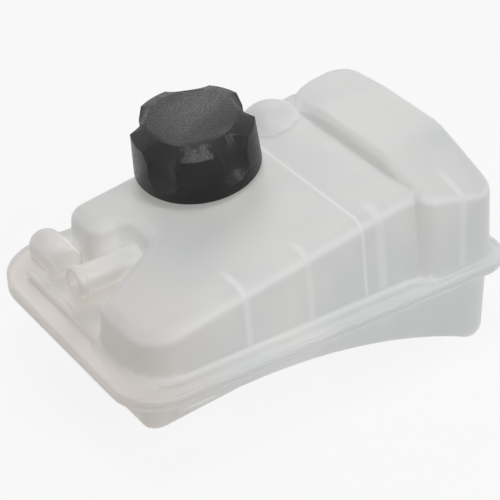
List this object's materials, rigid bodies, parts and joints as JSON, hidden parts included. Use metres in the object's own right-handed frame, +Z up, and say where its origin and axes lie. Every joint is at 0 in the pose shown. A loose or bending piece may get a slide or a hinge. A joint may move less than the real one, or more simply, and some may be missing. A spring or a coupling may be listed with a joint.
{
  "type": "coolant expansion tank",
  "caption": "Milky plastic coolant expansion tank for a car: welded shells with a taller end, a hose spigot and a black fluted screw cap.",
  "frame": {"origin": "middle of the weld rim's outline, on the plane that the sump and the two pegs rest on", "axes": "+Z up, across the level weld rim; +X along the tank from its low end with the hose spigot to its taller end; +Y from the front wall to the filler neck's side"},
  "size_m": [0.227, 0.158, 0.1255],
  "materials": {
    "tank_polypropylene": "semi-gloss, milky and see-through",
    "cap_nylon": "satin",
    "plug_nylon": "satin",
    "seal_rubber": "matt",
    "spring_steel": "bright",
    "valve_brass": "satin"
  },
  "bodies": {
    "tank": {"upper_shell": "tank_polypropylene", "lower_shell": "tank_polypropylene"},
    "plug": {"cap_plug": "plug_nylon", "plug_o_ring": "seal_rubber", "neck_gasket": "seal_rubber", "valve_seat_ring": "valve_brass", "pressure_spring": "spring_steel"},
    "screw_cap": {"cap": "cap_nylon", "plug_clip_ring": "spring_steel"},
    "pressure_plate": {"pressure_valve": "valve_brass", "pressure_seal": "seal_rubber", "vacuum_spring": "spring_steel"},
    "vacuum_poppet": {"vacuum_valve": "valve_brass", "stem_clip": "spring_steel"}
  },
  "joints": [
    {"name": "cap_lift", "type": "slide", "parent": "tank", "child": "plug", "axis": [-0.125, -0.0744, 0.9894], "range_m": [0, 0.012]},
    {"name": "cap_turn", "type": "hinge", "parent": "plug", "child": "screw_cap", "pos_m": [-0.0065, 0.035, 0.0928], "axis": [-0.125, -0.0744, 0.9894], "range_deg": [0, 540]},
    {"name": "pressure_lift", "type": "slide", "parent": "plug", "child": "pressure_plate", "axis": [-0.125, -0.0744, 0.9894], "range_m": [0, 0.003], "stiffness_N_per_m": 600, "springref_m": -0.002, "deforming": ["pressure_spring"]},
    {"name": "vacuum_drop", "type": "slide", "parent": "pressure_plate", "child": "vacuum_poppet", "axis": [0.125, 0.0744, -0.9894], "range_m": [0, 0.0015], "stiffness_N_per_m": 40, "springref_m": -0.002, "deforming": ["vacuum_spring"]}
  ],
  "couplings": [
    {"joint": "cap_lift", "follows": "cap_turn", "m_per_rad": 0.0012732}
  ]
}
